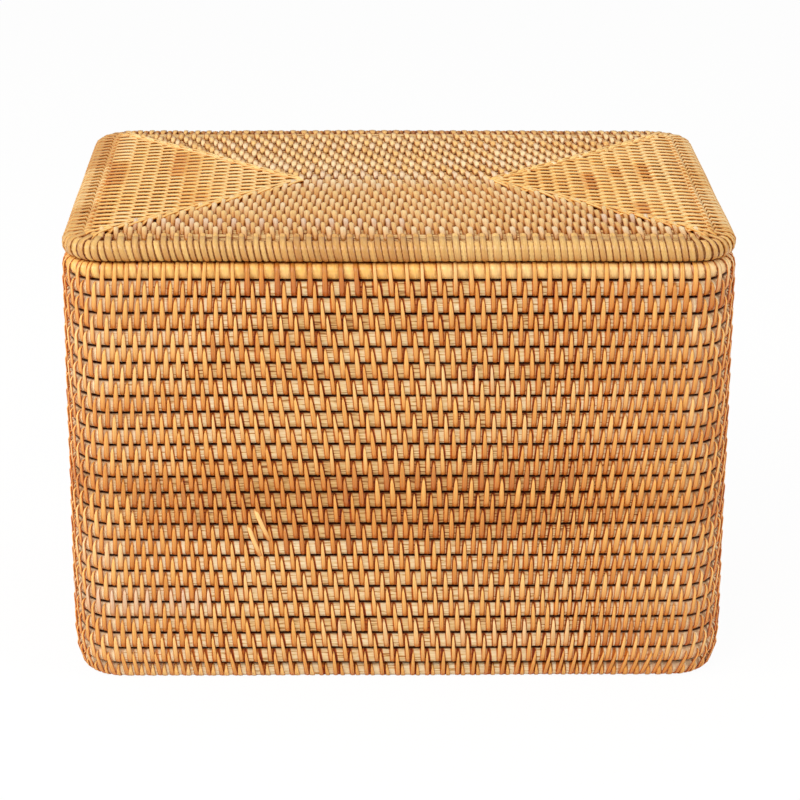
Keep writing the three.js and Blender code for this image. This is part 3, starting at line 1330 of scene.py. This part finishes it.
@dataclass
class Wall:
    """The rows of the box, one on another, and the lashing that holds each to the next."""

    finishes: Finishes
    rows: int = 26
    ease: float = 130.0  # distance from a corner at which the stitches stand widest, mm
    core_tones: tuple[float, float] = (0.53, 0.78)
    corner_gain: float = 0.32
    band_shade: float = 0.16  # how much darker the core is in the band
    low_gain: float = 0.05  # how much paler it is below the band
    high_tone: float = 0.57  # usual paleness of the peel above the band
    band_tone: float = 0.46
    low_tone: float = 0.6
    foot_tone: float = 0.58
    wrap_tone: float = 0.74
    wrap_spread: float = 0.08
    wrap_lean: float = 0.2
    wrap_width: float = 0.8  # share of the pitch
    wrap_lift: float = 0.05  # mm
    wrap_thick: float = 0.6  # mm
    place_spread: float = 0.03  # of a stitch along its row, as a share of the pitch

    BAND = range(12, 17)  # rows of warmer cane, from the top
    LEAN_LENGTH = 170 * MM
    LEAN_START = Vector((0.8, 17.1, 31.2))
    LEAN_SIZE = 0.2
    CORNER_FULLNESS = 0.1

    def __post_init__(self) -> None:
        """Works out the rows' lines and the places of their stitches."""
        self.lines: list[RodLine] = []
        self.levels: list[float] = []
        inset = ROD + 2 * WALL_DRAW
        for row in range(self.rows):
            low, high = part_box(self.node(row))
            size = (high - low) / MM
            self.lines.append(RodLine.loop(size.x - inset, size.y - inset, WALL_CORNER - inset / 2))
            self.levels.append((low.z + high.z) / 2)
        self.spacing = RowSpacing(self.lines[0], self.ease)

    def node(self, row: int) -> str:
        """Returns the frame's name for a row, counted from the top."""
        return f"wall_hoop_{self.rows - row:02d}"

    def at(self, row: int, share: float) -> tuple[Vector, Vector]:
        """Returns the place in metres at a share of a row, and the heading there."""
        point, heading = self.lines[row].at(share * self.lines[row].length)
        return point + UP * self.levels[row], heading

    def build(self) -> None:
        """Builds the rods and their lashing."""
        for row in range(self.rows):
            self._rod(row)
        top = over_two_rows(CORE_RADIUS, ROW_PITCH, PEEL_WIDTH, WALL_STITCH, top=True)
        shape = over_two_rows(CORE_RADIUS, ROW_PITCH, PEEL_WIDTH, WALL_STITCH)
        for row in range(self.rows - 1):
            self._lash(row, shape if row else top)
        self._lash_foot()
        self._wrap_top()
        self._lay_ends()

    def _rod(self, row: int) -> None:
        """Builds the rod of a row.

        Args:
            row: Number of the row, from the top.
        """
        line, level = self.lines[row], self.levels[row]

        def lash(distance: float) -> Counts:
            """Counts the heads in this row, and the tails from the row above.

            Args:
                distance: How far along the rod, mm.

            Returns:
                The counts.
            """
            share = distance / line.length
            pitch = self.spacing.pitch(share)
            number = self.spacing.number(share) + DRIFT * row
            slope = self.lean(line.at(distance)[0] + UP * level) * ROW_PITCH / 2 / pitch
            return number - slope, number - DRIFT + slope, pitch, slope

        tone = random.Random(Seed.WALL_TONES + row).uniform(*self.core_tones)
        if row in self.BAND:
            tone -= self.band_shade
        elif row >= self.BAND.stop:
            tone += self.low_gain
        radius = {0: TOP_CORE_RADIUS, self.rows - 1: FOOT_CORE_RADIUS}.get(row, CORE_RADIUS)
        rod = Rod(line, level, radius, tone, row, lash=lash, corner_gain=self.corner_gain)
        rod.lay(f"wall_rod_{self.rows - row:02d}", Body.BOX, self.finishes.core, self.node(row))

    def lean(self, place: Vector) -> float:
        """Returns the lean of a stitch, as a slope: it drifts slowly along the rows."""
        return self.LEAN_SIZE * noise.noise(place / self.LEAN_LENGTH + self.LEAN_START)

    def size(self, share: float) -> tuple[float, float, float]:
        """Returns a stitch's scale: its peel is wider at the corners, where it is packed close."""
        closeness = (SIDE_PITCH - self.spacing.pitch(share)) / (SIDE_PITCH - CORNER_PITCH)
        return 1.0 + self.CORNER_FULLNESS * closeness**3, 1.0, 1.0

    def tone(self, row: int) -> float:
        """Returns the usual paleness of the peel in a row, warmer in a band below the middle."""
        if row in self.BAND:
            return self.band_tone
        return self.high_tone if row < self.BAND.start else self.low_tone

    def _lash(self, row: int, shape: bpy.types.Mesh) -> None:
        """Lashes a row to the one below it.

        Args:
            row: Number of the upper row, from the top.
            shape: Mesh of one stitch.
        """
        supply = PeelSupply(Seed.WALL_PEEL + row)
        lashing = Lashing(shape, Seed.WALL_STITCHES + row)
        for number in range(self.spacing.count):
            astray = lashing.draw.gauss(0.0, self.place_spread)
            share = self.spacing.share(number - DRIFT * row + astray)
            upper, heading = self.at(row, share)
            lower, _ = self.at(row + 1, share)
            along = (upper - lower).normalized()
            place = (upper + lower) / 2
            axes = (heading, along.cross(heading), along)
            peel = supply.take(self.tone(row))
            lashing.add(place, axes, peel, self.lean(place), self.size(share))
        lashing.lay(f"wall_lashing_{self.rows - row:02d}", Body.BOX, self.finishes.peel)

    def _lash_foot(self) -> None:
        """Runs a stitch under the lowest row at every place of the pattern."""
        supply = PeelSupply(Seed.FOOT_PEEL)
        lashing = Lashing(round_foot(FOOT_CORE_RADIUS), Seed.FOOT_STITCHES)
        last = self.rows - 1
        for number in range(self.spacing.count):
            share = self.spacing.share(number - DRIFT * last)
            place, heading = self.at(last, share)
            peel = supply.take(self.foot_tone)
            lashing.add(place, upright(heading), peel, self.lean(place), self.size(share))
        lashing.lay("wall_lashing_01", Body.BOX, self.finishes.peel)

    def _wrap_top(self) -> None:
        """Wraps the top row between its stitches, so that it is covered."""
        supply = PeelSupply(Seed.TOP_PEEL)
        width = SIDE_PITCH * self.wrap_width
        shape = round_rod(TOP_CORE_RADIUS, self.wrap_lift, width, self.wrap_thick)
        lashing = Lashing(shape, Seed.TOP_WRAPS)
        for number in range(self.spacing.count):
            share = self.spacing.share(number + 0.5)
            place, heading = self.at(0, share)
            size = (self.spacing.pitch(share) / SIDE_PITCH, 1.0, 1.0)
            peel = supply.take(self.wrap_tone, self.wrap_spread)
            lashing.add(place, upright(heading), peel, self.wrap_lean, size)
        lashing.lay("wall_top_wrap", Body.BOX, self.finishes.peel)

    def _lay_ends(self) -> None:
        """Lays in the ends of strips where one was used up and the next begun."""
        lashing = Lashing(laid_end(CORE_RADIUS, ROW_PITCH, PEEL_WIDTH), Seed.LAID_ENDS)
        for row, x, y, lean in LAID_ENDS:
            line = self.lines[row]
            wanted = Vector((x, y, 0.0)) * MM
            away = [(line.at(distance)[0] - wanted).length for distance in line.stations()]
            nearest = line.stations()[away.index(min(away))]
            near, heading = line.at(nearest)
            point, heading = line.at(nearest + (wanted - near).dot(heading) / MM)
            place = point + UP * (self.levels[row] + self.levels[row + 1]) / 2
            lashing.add(place, upright(heading), (LAID_TONE, 1.0), lean)
        lashing.lay("wall_laid_ends", Body.BOX, self.finishes.peel)


@dataclass
class FlatCoil:
    """One rod wound inwards to fill a frame, and the lashing that holds its turns together."""

    name: str
    node: str
    frame_node: str  # piece that the coil fills
    frame_width: float  # of that piece, mm
    frame_corner: float  # outside corner radius of that piece, mm
    body: Body
    finishes: Finishes
    core: float = LID_CORE_RADIUS
    rod: float = LID_ROD
    tightest: float = 0.4  # least radius on the inside of a bend, mm
    long_pitch: float = 7.5  # of the stitches along the front and the back, mm
    end_pitch: float = 7.4  # of the stitches at the two ends, mm
    long_tone: float = 0.7
    end_tone: float = 0.67
    core_tone: float = 0.5
    tone_spread: float = 0.1
    raised: float = 0.0  # above the middle of its node, mm

    LEAN_LENGTH = 120 * MM
    LEAN, LEAN_SIZE = 0.05, 0.12
    END_ROOM = 0.65  # from the end of a side to its last stitch, in pitches past the turn's own
    END_BROWN = 0.2  # share of brown strips at the two ends
    MITRE_PLACE = 0.62  # of a strip on the mitre, in pitches from its turn
    MITRE_ANGLE = 45  # degrees
    MITRE_FAN = 9  # degrees between a strip on the mitre and the mitre itself
    MITRE_ASIDE = -1.9  # mm
    MITRE_SCALE = (0.58, 1.06, 1.4)

    def __post_init__(self) -> None:
        """Works out the turns."""
        low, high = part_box(self.frame_node)
        size = (high - low) / MM
        self.inside_length = size.x - 2 * self.frame_width
        self.inside_corner = self.frame_corner - self.frame_width
        room = size.y - 2 * self.frame_width - 2 * COIL_GAP - self.rod
        self.row_count = 1 + math.floor(room / (self.rod + COIL_GAP))
        self.pitch = room / (self.row_count - 1)
        self.half_length = (self.inside_length - 2 * COIL_GAP - self.rod) / 2
        self.half_depth = room / 2
        self.turns = self.row_count // 2
        low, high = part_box(self.node)
        self.level = (low.z + high.z) / 2 + self.raised * MM

    def line(self) -> RodLine:
        """Works out the rod's line.

        Returns:
            The line, clockwise inwards from the back left corner.
        """
        even = self.row_count % 2 == 0
        start = max(self.inside_corner, self.rod + COIL_GAP) - self.inside_length / 2 - self.rod / 2
        corners = [Corner(start, self.half_depth, 0.0)]
        for turn in range(self.turns):
            x = self.half_length - turn * self.pitch
            y = self.half_depth - turn * self.pitch
            widest = self.inside_corner - COIL_GAP - self.rod / 2 - turn * self.pitch
            column = max(2 * y - self.pitch, self.pitch)
            bend = min(max(widest, self.rod / 2 + self.tightest), column / 2)
            corners += [Corner(x, y, bend), Corner(x, -y, bend)]
            if turn < self.turns - 1 or not even:
                corners += [Corner(-x, -y, bend), Corner(-x, y - self.pitch, bend)]
        last = self.half_length - (self.turns - 2 if even else self.turns - 1) * self.pitch
        end = last - self.rod / 2 - COIL_GAP
        corners.append(Corner(-end if even else end, -self.pitch / 2 if even else 0.0, 0.0))
        return RodLine(corners, False)

    def build(self) -> None:
        """Builds the rod and its lashing."""
        line = self.line()
        lash = self.counter(line)
        rod = Rod(line, self.level, self.core, self.core_tone, Seed.COIL_ROD, stacked=False, lash=lash)
        rod.lay(f"{self.name}_rod", self.body, self.finishes.lid_core, self.node)
        grain = over_two_rows(self.core, self.pitch, GRAIN_WIDTH, LID_GRAIN)
        lens = over_two_rows(self.core, self.pitch, LENS_WIDTH, LID_LENS)
        for side in Side:
            self._lash(side, grain if side.lengthwise else lens)
        self._lash_corners(lens)

    def lean(self, place: Vector) -> float:
        """Returns the lean of a stitch, as a slope."""
        return self.LEAN + self.LEAN_SIZE * noise.noise(place / self.LEAN_LENGTH)

    def spans(self, side: Side) -> tuple[float, float, float]:
        """Returns a side's stitch pitch, its half length and its distance from the middle, in mm."""
        if side.lengthwise:
            return self.long_pitch, self.half_length, self.half_depth
        return self.end_pitch, self.half_depth, self.half_length

    def counter(self, line: RodLine) -> StitchCount:
        """Makes what counts the stitches along the rod.

        Args:
            line: Middle line of the rod.

        Returns:
            The function that counts them up to a distance.
        """

        def lash(distance: float) -> Counts:
            """Counts the heads in this turn, of which the first has none, and the tails from the next.

            Args:
                distance: How far along the rod, mm.

            Returns:
                The counts.
            """
            place, along = line.at(distance)
            side = max(Side, key=lambda each: along.dot(each.heading))
            pitch, _, reach = self.spans(side)
            turn = (reach + place.dot(to_right(side.heading)) / MM) / self.pitch
            number = place.dot(side.heading) / MM / pitch - DRIFT * turn
            slope = self.lean(place) * self.pitch / 2 / pitch
            heads = number + DRIFT - slope if turn > 0.5 else 0.5
            return heads, number + slope, pitch, slope

        return lash

    def _lash(self, side: Side, shape: bpy.types.Mesh) -> None:
        """Lashes the turns together along one side.

        Args:
            side: Which side.
            shape: Mesh of one stitch.
        """
        inwards = to_right(side.heading)
        pitch, half_run, reach = self.spans(side)
        tone = self.long_tone if side.lengthwise else self.end_tone
        finish = self.finishes.pale_peel if side.lengthwise else self.finishes.end_peel
        index = list(Side).index(side)
        lashing = Lashing(shape, Seed.COIL_STITCHES + index)
        brown = 0.0 if side.lengthwise else self.END_BROWN
        supply = PeelSupply(Seed.COIL_PEEL + index, brown)
        for turn in range(self.turns if side is Side.FRONT else self.turns - 1):
            run = half_run - (turn + self.END_ROOM) * self.pitch
            away = reach - (turn + 0.5) * self.pitch
            first = math.ceil(-run / pitch - DRIFT * turn)
            for number in range(first, first + math.floor(2 * run / pitch) + 1):
                travelled = (number + DRIFT * turn) * pitch
                if abs(travelled) > run:
                    continue
                flat = (side.heading * travelled - inwards * away) * MM
                place = flat + UP * self.level
                peel = supply.take(tone, self.tone_spread)
                lean = self.lean(place - UP * self.level)
                lashing.add(place, (side.heading, UP, inwards), peel, lean)
        lashing.lay(f"{self.name}_lashing_{side.name.lower()}", self.body, finish)

    def _lash_corners(self, shape: bpy.types.Mesh) -> None:
        """Lays two strips over each turn where the sides meet.

        Args:
            shape: Mesh of one strip.
        """
        lashing = Lashing(shape, Seed.MITRE_STITCHES)
        supply = PeelSupply(Seed.MITRE_PEEL)
        for sign_x, sign_y in ((1, 1), (1, -1), (-1, -1), (-1, 1)):
            for turn in range(self.turns - 1):
                x = self.half_length - (turn + self.MITRE_PLACE) * self.pitch
                y = self.half_depth - (turn + self.MITRE_PLACE) * self.pitch
                for fan in (-1, 1):
                    angle = math.radians(self.MITRE_ANGLE + self.MITRE_FAN * fan)
                    cos, sin = math.cos(angle), math.sin(angle)
                    inwards = Vector((-sign_x * cos, -sign_y * sin, 0.0))
                    aside = Vector((sign_x * sin, -sign_y * cos, 0.0)) * self.MITRE_ASIDE * fan
                    place = (Vector((sign_x * x, sign_y * y, 0.0)) + aside) * MM + UP * self.level
                    peel = supply.take(self.end_tone, self.tone_spread)
                    axes = (-to_right(inwards), UP, inwards)
                    lashing.add(place, axes, peel, 0.0, self.MITRE_SCALE)
        lashing.lay(f"{self.name}_lashing_corners", self.body, self.finishes.end_peel)


@dataclass
class LidEdge:
    """The wrapped bead of the lid and the collar rows under its coil."""

    finishes: Finishes
    wrap_pitch: float = 3.5  # mm
    wrap_widths: tuple[float, float] = (0.88, 1.12)
    wrap_spread: float = 0.08  # of the wraps' tones
    long_width: float = 0.98  # of the long wraps, as a share of the pitch
    short_width: float = 0.96  # of the short ones
    short_lift: float = 0.2  # of the short wraps off the bundle, mm
    panel_drop: float = 0.8  # top of the coil below the top of the bead, mm
    inner_inset: float = 11.85  # of the bead's inner rod from the lid's outline, mm
    inner_rise: float = 2.25  # of that rod above the middle of the bead, mm
    inner_radius: float = 1.7  # mm
    collar_pitch: float = 7.6  # of its stitches, mm
    collar_tone: float = 0.55
    collar_lean: float = 0.05

    LEAN_LENGTH = 110 * MM
    LEAN, LEAN_SIZE = 0.16, 0.16
    # Painted shade: the bundle is drawn dark brown, so that it shows as the shade in the gaps between the
    # bead's wraps.
    BUNDLE_TONE = 0.15
    INNER_TONE = 0.3
    WRAP_TONE = 0.55
    END_GAIN = 0.12  # how much paler the wraps are at the two ends

    def __post_init__(self) -> None:
        """Measures the frame's bead."""
        low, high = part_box("lid_rim")
        self.size = (high - low) / MM
        self.right = high.x
        self.level = (low.z + high.z) / 2 - RIM_SAG * MM

    def build(self) -> None:
        """Builds the bead, the collar and their peel."""
        bundle_line = self._line(RIM_WIDTH / 2)
        bundle = Rod(bundle_line, self.level, RIM_CORE_RADIUS, self.BUNDLE_TONE, Seed.BUNDLE_ROD)
        bundle.lay("lid_rim_bundle", Body.LID, self.finishes.lid_core, "lid_rim")
        inner_line = self._line(self.inner_inset)
        inner_level = self.level + self.inner_rise * MM
        inner = Rod(inner_line, inner_level, self.inner_radius, self.INNER_TONE, Seed.INNER_ROD)
        inner.lay("lid_rim_inner_rod", Body.LID, self.finishes.lid_core)
        self._wrap(bundle_line)
        self._collar()

    def _line(self, inset: float) -> RodLine:
        """Returns a line all round the lid, so many mm inside its outline."""
        return RodLine.loop(self.size.x - 2 * inset, self.size.y - 2 * inset, LID_CORNER - inset)

    def _wrap(self, line: RodLine) -> None:
        """Wraps the bead with long and short wraps in turn.

        Args:
            line: Middle line of its bundle.
        """
        first_row = (
            -(RIM_WIDTH / 2 + COIL_GAP + LID_ROD / 2),
            self.size.z / 2 - self.panel_drop - LID_ROD / 2 + RIM_SAG,
        )
        long_width = self.wrap_pitch * self.long_width
        long_shape = round_rim(RIM_CORE_RADIUS, first_row, LID_CORE_RADIUS, long_width)
        short_width = self.wrap_pitch * self.short_width
        short_shape = round_rod(RIM_CORE_RADIUS, self.short_lift, short_width, PEEL_THICK)
        wraps = {  # by whether they are at an end, and by their place in the turn
            (False, 0): ("lid_rim_wrap_long", Lashing(long_shape, Seed.LONG_WRAPS)),
            (False, 1): ("lid_rim_wrap_short", Lashing(short_shape, Seed.SHORT_WRAPS)),
            (True, 0): ("lid_rim_end_wrap_long", Lashing(long_shape, Seed.LONG_END_WRAPS)),
            (True, 1): ("lid_rim_end_wrap_short", Lashing(short_shape, Seed.SHORT_END_WRAPS)),
        }
        count = 2 * round(line.length / self.wrap_pitch / 2)
        draw = random.Random(Seed.WRAP_WIDTHS)
        widths = [draw.uniform(*self.wrap_widths) for _ in range(count)]
        ends = list(accumulate(widths))
        supply = PeelSupply(Seed.BEAD_PEEL)
        for number, (width, end) in enumerate(zip(widths, ends)):
            point, heading = line.at((end - width / 2) * line.length / ends[-1])
            place = point + UP * self.level
            lean = self.LEAN + self.LEAN_SIZE * noise.noise(place / self.LEAN_LENGTH)
            peel = supply.take(self.WRAP_TONE + self.END_GAIN * abs(heading.y), self.wrap_spread)
            _, wrap = wraps[abs(heading.y) > abs(heading.x), number % 2]
            wrap.add(place, upright(heading), peel, lean, (width, 1.0, 1.0))
        for (at_end, _), (name, wrap) in wraps.items():
            finish = self.finishes.bead_end_peel if at_end else self.finishes.bead_peel
            wrap.lay(name, Body.LID, finish)

    def _collar(self) -> None:
        """Builds the two rows under the coil and lashes them up to it."""
        levels = []
        lines = []
        for row in (1, 2):
            node = f"lid_collar_{row}"
            low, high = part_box(node)
            size = (high - low) / MM
            corner = LID_CORNER - (self.right - high.x) / MM - ROD / 2
            lines.append(RodLine.loop(size.x - ROD, size.y - ROD, corner))
            levels.append((low.z + high.z) / 2)
            rod = Rod(lines[-1], levels[-1], CORE_RADIUS, self.collar_tone, Seed.COLLAR_ROD + row)
            rod.lay(f"lid_collar_rod_{row}", Body.LID, self.finishes.core, node)
        line = lines[0]
        count = round(line.length / self.collar_pitch)
        stitch = over_two_rows(CORE_RADIUS, ROW_PITCH, PEEL_WIDTH, WALL_STITCH)
        for name, shape, level, drift in (
            ("lid_collar_lashing_1", stitch, (levels[0] + levels[1]) / 2, 0.0),
            ("lid_collar_lashing_2", round_foot(CORE_RADIUS), levels[1], DRIFT),
        ):
            lashing = Lashing(shape, Seed.COLLAR_STITCHES)
            supply = PeelSupply(Seed.COLLAR_PEEL)
            for number in range(count):
                point, heading = line.at((number - drift) * line.length / count)
                peel = supply.take(self.collar_tone)
                lashing.add(point + UP * level, upright(heading), peel, self.collar_lean)
            lashing.lay(name, Body.LID, self.finishes.peel)


class Lamp(NamedTuple):
    """A soft square lamp that faces the box."""

    name: str
    place: tuple[float, float, float]  # m
    power: float  # W


LAMPS = (
    Lamp("key", (-0.7, -1.4, 1.7), 19.8),
    Lamp("left", (-1.7, -0.5, 1.1), 17.0),
    Lamp("right", (1.7, -0.7, 1.1), 14.0),
    Lamp("top", (0.1, 0.5, 1.9), 5.0),
)


@dataclass
class Studio:
    """Floor, lamps and camera."""

    floor_half: float = 6.0  # m
    lamp_size: float = 1.0  # m
    lamp_target: tuple[float, float, float] = (0.0, 0.0, 0.12)  # m
    target: tuple[float, float, float] = (0.0026, 0.0005, 0.1195)  # what the camera looks at, m
    distance: float = 1.596  # of the camera, m
    elevation: float = 19.35  # of the camera, degrees
    azimuth: float = -1.06  # of the camera, degrees to the right of the front
    roll: float = 0.3  # of the camera, degrees
    lens: float = 123.3  # mm
    sensor: float = 36.0  # mm
    world_strength: float = 0.5

    def build(self) -> None:
        """Builds the floor, the lamps and the camera."""
        scene = bpy.context.scene
        scene.view_settings.view_transform = "Standard"
        self._floor()
        self._world(scene)
        for lamp in LAMPS:
            self._hang(lamp)
        self._camera(scene)

    def _floor(self) -> None:
        """Builds the paper that the box stands on."""
        work = bmesh.new()
        bmesh.ops.create_grid(work, x_segments=1, y_segments=1, size=self.floor_half)
        mesh = bpy.data.meshes.new("studio_floor")
        work.to_mesh(mesh)
        work.free()
        mesh.materials.append(PaperFloor().material())
        floor = bpy.data.objects.new("studio_floor", mesh)
        bpy.context.scene.collection.objects.link(floor)

    def _world(self, scene: bpy.types.Scene) -> None:
        """Lights the scene from all round, and shows white behind it.

        Args:
            scene: The scene.
        """
        world = bpy.data.worlds.new("studio")
        world.use_nodes = True
        world.node_tree.nodes.clear()
        add = partial(add_node, world.node_tree)
        camera_ray = add("LightPath").outputs["Is Camera Ray"]
        light = add("Background", {"Color": WHITE, "Strength": self.world_strength})
        white = add("Background", {"Color": WHITE, "Strength": 1.0})
        both = add("MixShader", {}, {0: camera_ray, 1: light, 2: white})
        add("OutputWorld", {}, {"Surface": both})
        scene.world = world

    def _hang(self, lamp: Lamp) -> None:
        """Hangs a lamp.

        Args:
            lamp: Its name, place and power.
        """
        light = bpy.data.lights.new(lamp.name, "AREA")
        light.shape = "SQUARE"
        light.size = self.lamp_size
        light.energy = lamp.power
        holder = bpy.data.objects.new(lamp.name, light)
        holder.location = lamp.place
        aim = Vector(self.lamp_target) - Vector(lamp.place)
        holder.rotation_mode = "QUATERNION"
        holder.rotation_quaternion = aim.to_track_quat("-Z", "Y")
        bpy.context.scene.collection.objects.link(holder)

    def _camera(self, scene: bpy.types.Scene) -> None:
        """Sets up the camera at the photograph's viewing angle.

        Args:
            scene: The scene.
        """
        camera = bpy.data.cameras.new("camera")
        camera.lens = self.lens
        camera.sensor_width = self.sensor
        holder = bpy.data.objects.new("camera", camera)
        turn = math.radians(self.azimuth)
        rise = math.radians(self.elevation)
        level = math.cos(rise)
        back = Vector((math.sin(turn) * level, -math.cos(turn) * level, math.sin(rise)))
        holder.location = Vector(self.target) + back * self.distance
        holder.rotation_mode = "QUATERNION"
        facing = (-back).to_track_quat("-Z", "Y")
        holder.rotation_quaternion = facing @ Quaternion((0.0, 0.0, 1.0), math.radians(self.roll))
        scene.collection.objects.link(holder)
        scene.camera = holder


def make_finishes() -> Finishes:
    """Makes the materials of the box.

    Returns:
        The materials by their use.
    """
    # The lid's core has its own, lighter painted shade in the crease and round the stitches; the peels'
    # edge and tail tints are partly painted shade, and their paler heads a painted highlight.
    lid_core = RattanCore(
        "rattan_core_of_lid",
        PALE_STITCH_SHADE,
        crease_shade="d2a468",
        strip_half=1.5,
        slit_shade_half=2.1,
        side_shade_half=2.0,
    )
    pale_peel = RattanPeel("rattan_peel_of_lid", PALE_STOPS, edge="c98f4a", tail="dcae70")
    end_peel = RattanPeel("rattan_peel_of_lid_ends", END_STOPS, edge="dfae64", tail="ecca90")
    bead = RattanPeel("rattan_peel_of_bead", BEAD_STOPS, edge="a86a30", tail="dcae70", head_highlight_gain=1.1)
    bead_end = replace(bead, name="rattan_peel_of_bead_ends", edge="e4b878", tail="ecca90")
    looks = (RattanCore(), lid_core, RattanPeel(), pale_peel, end_peel, bead, bead_end)
    return Finishes(*(look.material() for look in looks))


def main() -> None:
    """Builds the box around its frame."""
    logging.basicConfig(level=logging.INFO, format="%(message)s")
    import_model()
    noise.seed_set(WOBBLE_SEED)
    Studio().build()
    finishes = make_finishes()
    Wall(finishes).build()
    FlatCoil(
        "base",
        "base_coil",
        "wall_hoop_01",
        ROD,
        WALL_CORNER,
        Body.BOX,
        finishes,
        core=FOOT_CORE_RADIUS,
        rod=ROD,
        long_tone=0.55,
        end_tone=0.55,
        raised=0.9,
    ).build()
    FlatCoil("lid_panel", "lid_coil", "lid_rim", RIM_WIDTH, LID_CORNER, Body.LID, finishes).build()
    LidEdge(finishes).build()


if __name__ == "__main__":
    main()
